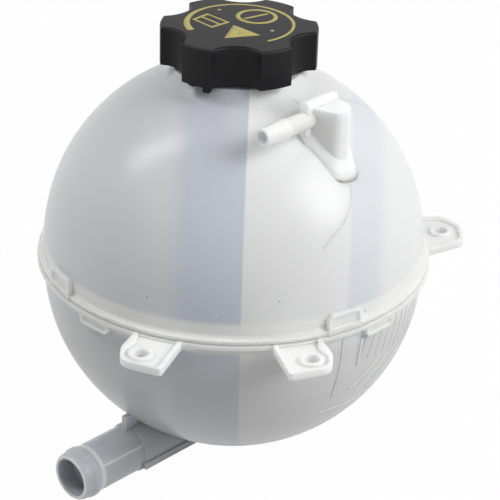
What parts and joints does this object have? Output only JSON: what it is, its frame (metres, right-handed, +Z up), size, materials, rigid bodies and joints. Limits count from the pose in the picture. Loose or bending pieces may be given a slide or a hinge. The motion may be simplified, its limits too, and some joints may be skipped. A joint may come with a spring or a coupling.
{
  "type": "coolant expansion tank",
  "caption": "Ball-shaped coolant expansion tank of two welded translucent halves, with fixing ears, a vent nozzle, an outlet nozzle and a lobed screw cap with a pressure valve.",
  "frame": {"origin": "midway between the two front ear holes, at the top of their bosses, which is the weld plane", "axes": "+Z up along the filler neck and the ear holes, +X to the side ear's side, -Y to the front, away from the ball"},
  "size_m": [0.2019, 0.2037, 0.2066],
  "materials": {
    "natural_pp": "milky translucent polypropylene, smooth",
    "black_pp": "black, satin",
    "ivory_plastic": "ivory, smooth",
    "seal_rubber": "black, soft",
    "spring_steel": "bright drawn wire"
  },
  "bodies": {
    "tank": {"lower_shell": "natural_pp", "upper_shell": "natural_pp"},
    "valve_insert": {"valve_housing": "ivory_plastic", "upper_neck_seal": "seal_rubber", "lower_neck_seal": "seal_rubber", "spring_abutment": "ivory_plastic", "pressure_spring": "spring_steel"},
    "cap": {"cap_cover": "black_pp", "thread_ring": "black_pp"},
    "pressure_stage": {"pressure_plate": "ivory_plastic", "pressure_seal": "seal_rubber", "vacuum_spring": "spring_steel"},
    "vacuum_stage": {"vacuum_valve": "ivory_plastic", "vacuum_seal": "seal_rubber", "vacuum_clip": "ivory_plastic"}
  },
  "joints": [
    {"name": "cap_lift", "type": "slide", "parent": "tank", "child": "valve_insert", "axis": [0, 0, 1], "range_m": [0, 0.00675]},
    {"name": "cap_turn", "type": "hinge", "parent": "valve_insert", "child": "cap", "pos_m": [0, 0.0992, 0.1], "axis": [0, 0, 1], "range_deg": [0, 540]},
    {"name": "pressure_lift", "type": "slide", "parent": "valve_insert", "child": "pressure_stage", "axis": [0, 0, 1], "range_m": [0, 0.0025], "stiffness_N_per_m": 3000, "springref_m": -0.008, "deforming": ["pressure_spring"]},
    {"name": "vacuum_drop", "type": "slide", "parent": "pressure_stage", "child": "vacuum_stage", "axis": [0, 0, -1], "range_m": [0, 0.0015], "stiffness_N_per_m": 120, "springref_m": -0.004, "deforming": ["vacuum_spring"]}
  ],
  "couplings": [
    {"joint": "cap_lift", "follows": "cap_turn", "m_per_rad": 0.0007162}
  ]
}
